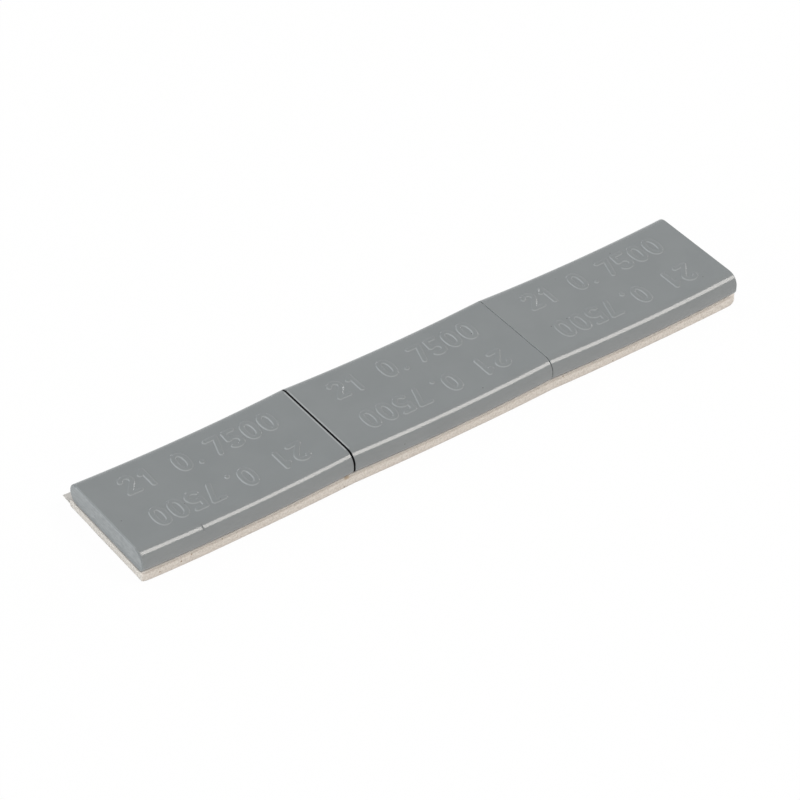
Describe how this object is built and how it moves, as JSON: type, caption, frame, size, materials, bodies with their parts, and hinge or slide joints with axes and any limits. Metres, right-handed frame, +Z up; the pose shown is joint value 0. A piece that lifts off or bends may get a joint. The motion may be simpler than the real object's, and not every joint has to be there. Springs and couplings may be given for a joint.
{
  "type": "stick-on wheel balance weight",
  "caption": "Flat strip of curved coated steel segments on foam adhesive tape with a release liner, stuck inside a wheel rim to balance the wheel.",
  "frame": {"origin": "on the underside of the release liner, below the middle of the middle segment, on the steel's centre line", "axes": "+X along the strip, +Y across it towards the liner's free edge, +Z up through the steel"},
  "size_m": [0.1129, 0.0227, 0.0056],
  "materials": {
    "coated_steel": "semi-gloss grey coating",
    "foam": "matt off-white foam",
    "liner": "off-white release paper"
  },
  "bodies": {
    "root": {"left_weight": "coated_steel", "middle_weight": "coated_steel", "right_weight": "coated_steel", "foam_tape": "foam", "release_liner": "liner"}
  },
  "joints": []
}
